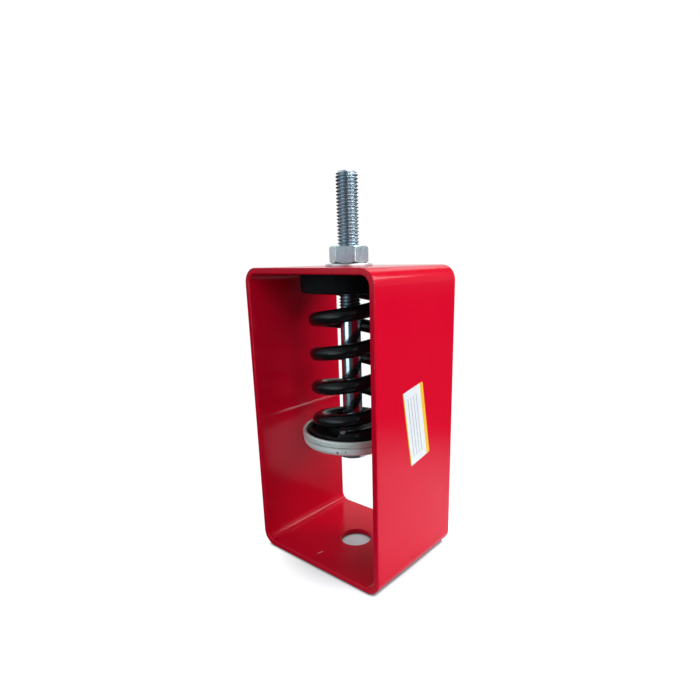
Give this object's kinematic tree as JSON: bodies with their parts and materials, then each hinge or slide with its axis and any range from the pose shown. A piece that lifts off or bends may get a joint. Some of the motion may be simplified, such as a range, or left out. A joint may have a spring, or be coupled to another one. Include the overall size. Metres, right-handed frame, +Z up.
{
  "type": "spring vibration isolator",
  "caption": "Spring vibration isolator of the hanging kind: a coil spring on a cup inside an open box frame, with a hanger bolt through its top and a load hole in its floor.",
  "frame": {"origin": "centre of the load hole, on the underside of the box frame", "axes": "+Z up along the hanger bolt, X across the opening, Y along the tube that the frame is cut from"},
  "size_m": [0.0928, 0.0708, 0.218],
  "materials": {
    "red_paint": "gloss",
    "zinc_bolt": "satin",
    "zinc_nut": "satin",
    "zinc_washer": "satin",
    "rubber_seat": "matte",
    "black_paint": "gloss",
    "rubber_pad": "matte",
    "cast_grey": "matte",
    "label_film": "satin"
  },
  "bodies": {
    "frame": {"frame_floor": "red_paint", "frame_left": "red_paint", "frame_right": "red_paint", "frame_top": "red_paint", "top_washer": "zinc_washer", "upper_spring_seat": "rubber_seat", "coil_spring": "black_paint", "label": "label_film"},
    "spring_carrier": {"spring_cup": "cast_grey", "lower_spring_pad": "rubber_pad", "head_washer": "zinc_washer"},
    "bolt": {"hanger_bolt": "zinc_bolt", "top_nut": "zinc_nut"}
  },
  "joints": [
    {"name": "spring_travel", "type": "slide", "parent": "frame", "child": "spring_carrier", "axis": [0, 0, 1], "range_m": [0, 0.025], "stiffness_N_per_m": 144000, "springref_m": -0.003, "deforming": ["coil_spring"]},
    {"name": "bolt_swivel", "type": "hinge", "parent": "spring_carrier", "child": "bolt", "pos_m": [0, 0, 0.068], "axis": [0, 0, 1], "continuous": true}
  ]
}
